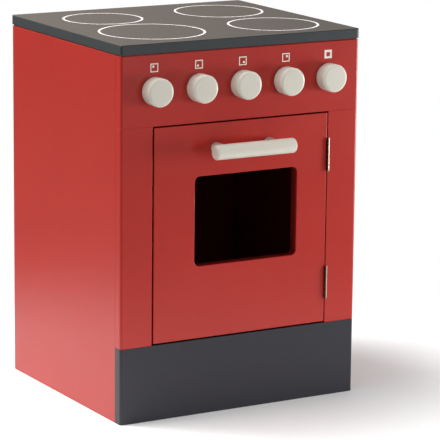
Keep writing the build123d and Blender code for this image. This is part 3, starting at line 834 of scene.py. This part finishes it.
def raw_stock(name, darkest, lightest, grain, gloss, depth, strength):
    """Bare material, neither lacquered nor plated: its grain moves the tone, the gloss and the
    relief together. The grain is given by its scale, detail, roughness and stretch, and the gloss
    by its roughness in the grain's hollows and what its crests add."""
    scale, detail, roughness, stretch = grain
    material, wire = new_material(name)
    place = wire.node("ShaderNodeTexCoord", output="Object")
    stretched = wire.node("ShaderNodeMapping", {}, {"Vector": place, "Scale": stretch})
    height = noise(wire, stretched, scale, detail, roughness)
    tone = mix(wire, height, shade(darkest, 1.0), shade(lightest, 1.0))
    bump = relief(wire, height, depth, strength)
    finish_material(wire, tone, gloss[0] + height * gloss[1], bump)
    return material


screw_steel = metal("screw_steel", STEEL, STEEL_GLOSS, CAST, in_recess)
beech = raw_stock(
    "sanded_beech",
    darkest=(0.52, 0.36, 0.21),
    lightest=(0.70, 0.53, 0.35),
    grain=(900.0, 3.0, 0.5, (1.0, 0.1, 1.0)),
    gloss=(0.55, 0.10),
    depth=0.10 * MM,
    strength=0.2,
)
nylon = raw_stock(
    "moulded_nylon",
    darkest=(0.66, 0.65, 0.60),
    lightest=(0.72, 0.71, 0.66),
    grain=(1500.0, 2.0, 0.5, CAST),
    gloss=(0.40, 0.10),
    depth=0.05 * MM,
    strength=0.2,
)
ferrite = raw_stock(
    "fired_ferrite",
    darkest=(0.035, 0.035, 0.037),
    lightest=(0.07, 0.07, 0.07),
    grain=(2200.0, 4.0, 0.7, CAST),
    gloss=(0.55, 0.15),
    depth=0.05 * MM,
    strength=0.3,
)

stock = {
    "dowels": beech,
    "catch_housing": nylon,
    "catch_magnet": ferrite,
    "hinge_frame_screws": brass,
    "hinge_door_screws": brass,
    "strike_plate": steel,
    **{name: screw_steel for name in SCREW_ROWS},
}
for number in KNOB_NUMBERS:
    stock[f"knob_spindle_{number}"] = beech
    stock[f"knob_washer_{number}"] = steel
for name, material in stock.items():
    for material_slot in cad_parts[name].material_slots:
        material_slot.material = material


# Studio
# The floor is white near the oven and darkens farther out, painted shade for the lamps' pool of
# light; it has no visible end, and the room is pale all round. Two large soft lamps hang behind on
# the left, and two weak ones stand low, one far in front and a small one close by on the right.
FLOOR_HALF = 9.0
PAPER, FAR_FLOOR_PAINTED_SHADE = (0.88, 0.88, 0.88), (0.18, 0.18, 0.18)
PAINTED_SHADE_SPAN = (0.40, 0.95)  # from the middle, over which the floor darkens into painted shade
WHITE_START = (0.28, 0.60)  # over which the floor turns pure white, as the camera sees it
WHITE = (1.0, 1.0, 1.0, 1.0)
ROOM_LIGHT, BACKDROP_LIGHT = 0.43, 1.0
WALL_TONE = (1.0, 0.84, 0.71, 1.0)
WALL_BEHIND = (-0.25, 0.25)  # the Y of a direction, over which the wall in reflections begins
WALL_END = (0.7, 0.3)  # the X of a direction, over which it ends on the right
AIM = Vector((0.0, 0.0, 0.25))  # the lamps all point here, at the oven's middle
LAMPS = {  # place, side of the square and watts
    "key_lamp": ((-1.54, 0.59, 2.99), 2.0, 106.0),
    "rear_lamp": ((-1.09, 1.30, 2.96), 1.4, 62.0),
    "front_lamp": ((0.66, -3.11, 0.58), 1.4, 12.0),
    "side_lamp": ((1.15, -0.62, 0.28), 0.40, 11.0),
}


def ramp(wire, value, ends, kind="LINEAR"):
    """0 before the first end, 1 past the second, and a slope between them."""
    inputs = {"Value": value, "From Min": ends[0], "From Max": ends[1]}
    return wire.node("ShaderNodeMapRange", {"interpolation_type": kind}, inputs)


def rays(wire, kind):
    """1 for rays of that kind, and 0 for all others."""
    return wire.node("ShaderNodeLightPath", output=f"Is {kind} Ray")


floor_material, wire = new_material("studio_floor")
place = wire.node("ShaderNodeTexCoord", output="Object")
reach = wire.node("ShaderNodeVectorMath", {"operation": "LENGTH"}, {0: place}, "Value")
# Painted shade: farther out, the floor's white darkens, for the lamps' light that fades there.
floor_painted_shade = ramp(wire, reach, PAINTED_SHADE_SPAN, "SMOOTHSTEP")
floor_tone = mix(wire, floor_painted_shade, shade(PAPER, 1.0), shade(FAR_FLOOR_PAINTED_SHADE, 1.0))
paper = wire.node("ShaderNodeBsdfDiffuse", {}, {"Color": floor_tone})
white = wire.node("ShaderNodeEmission", {}, {"Color": WHITE, "Strength": BACKDROP_LIGHT})
far_white = ramp(wire, reach, WHITE_START, "SMOOTHSTEP") * rays(wire, "Camera")
surface = wire.node("ShaderNodeMixShader", {}, {0: far_white, 1: paper, 2: white})
wire.node("ShaderNodeOutputMaterial", {}, {"Surface": surface})
floor_mesh = bpy.data.meshes.new("studio_floor")
floor_corners = rectangle((-FLOOR_HALF, -FLOOR_HALF), (FLOOR_HALF, FLOOR_HALF))
floor_mesh.from_pydata([(*corner, 0.0) for corner in floor_corners], [], [(0, 1, 2, 3)])
floor_mesh.materials.append(floor_material)
floor = bpy.data.objects.new("studio_floor", floor_mesh)
scene.collection.objects.link(floor)

for name, (place, size, watts) in LAMPS.items():
    light = bpy.data.lights.new(name, "AREA")
    light.shape, light.size, light.energy = "SQUARE", size, watts
    lamp = bpy.data.objects.new(name, light)
    lamp.location = place
    lamp.rotation_mode = "QUATERNION"
    lamp.rotation_quaternion = (AIM - Vector(place)).to_track_quat("-Z", "Y")
    scene.collection.objects.link(lamp)

# The small lamp passes over the right side panel, whose glow would redden the paper beside it.
unlit = bpy.data.collections.new("not_lit_by_side_lamp")
unlit.objects.link(bpy.data.objects["side_panel_right_board"])
bpy.data.objects["side_lamp"].light_linking.receiver_collection = unlit
unlit.collection_objects[0].light_linking.link_state = "EXCLUDE"

# The room lights all sides alike. Lacquer and metal mirror a warm wall in it, which stands behind
# the oven and ends on the right, and the camera sees it white.
world = bpy.data.worlds.new("studio_room")
world.use_nodes = True
world.node_tree.nodes.clear()
scene.world = world
wire = Wire(world.node_tree)
across, depth = split(wire, wire.node("ShaderNodeTexCoord", output="Generated"))[:2]
wall = ramp(wire, depth, WALL_BEHIND) * ramp(wire, across, WALL_END)
room = wire.node("ShaderNodeBackground", {}, {"Color": WHITE, "Strength": ROOM_LIGHT})
mirrored = wire.node("ShaderNodeBackground", {}, {"Color": WALL_TONE, "Strength": wall})
backdrop = wire.node("ShaderNodeBackground", {}, {"Color": WHITE, "Strength": BACKDROP_LIGHT})
in_mirror = rays(wire, "Glossy") | rays(wire, "Transmission")
lit = wire.node("ShaderNodeMixShader", {}, {0: in_mirror, 1: room, 2: mirrored})
lit = wire.node("ShaderNodeMixShader", {}, {0: rays(wire, "Camera"), 1: lit, 2: backdrop})
wire.node("ShaderNodeOutputWorld", {}, {"Surface": lit})
